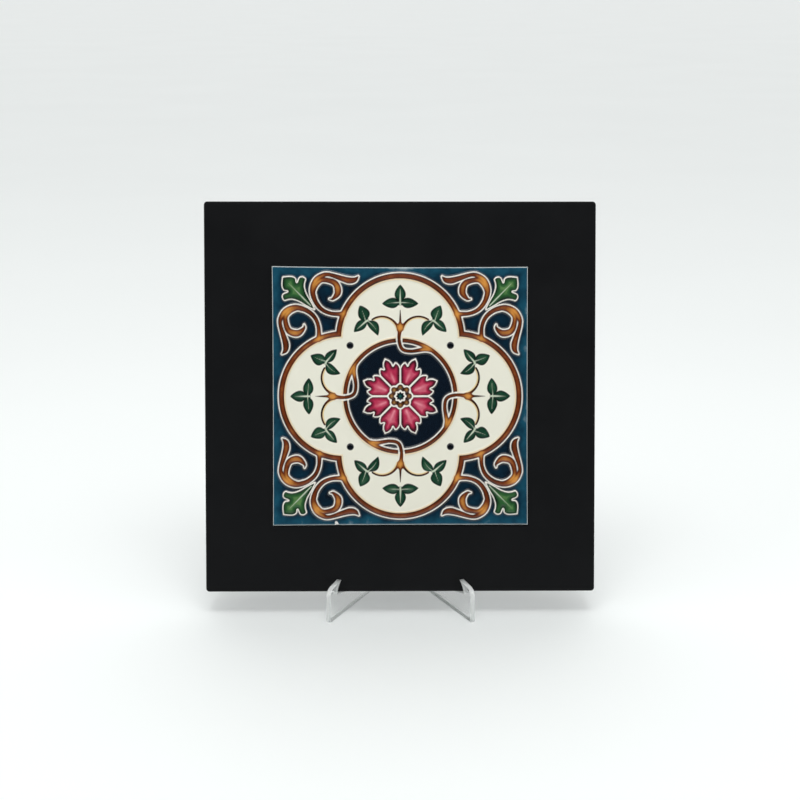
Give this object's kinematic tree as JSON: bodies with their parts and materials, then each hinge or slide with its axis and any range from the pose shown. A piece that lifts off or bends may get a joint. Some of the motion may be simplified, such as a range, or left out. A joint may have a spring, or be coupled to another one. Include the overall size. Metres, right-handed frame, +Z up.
{
  "type": "framed azulejo tile on an easel",
  "caption": "Glazed relief tile with a quatrefoil, scrolls and a flower, set in a square black board that leans on a clear slotted easel.",
  "frame": {"origin": "on the table, under the middle of the whole object's box", "axes": "+Z up, the tile's face looks along -Y and leans back towards +Y, +X to the right as seen from the front"},
  "size_m": [0.234, 0.0972, 0.2412],
  "materials": {
    "board": "satin black paint over fibreboard",
    "tile": "glossy coloured glazes over moulded clay",
    "easel": "clear cast acrylic with polished edges"
  },
  "bodies": {
    "root": {"frame_board": "board", "tile": "tile", "easel_leg_left": "easel", "easel_leg_right": "easel"}
  },
  "joints": []
}
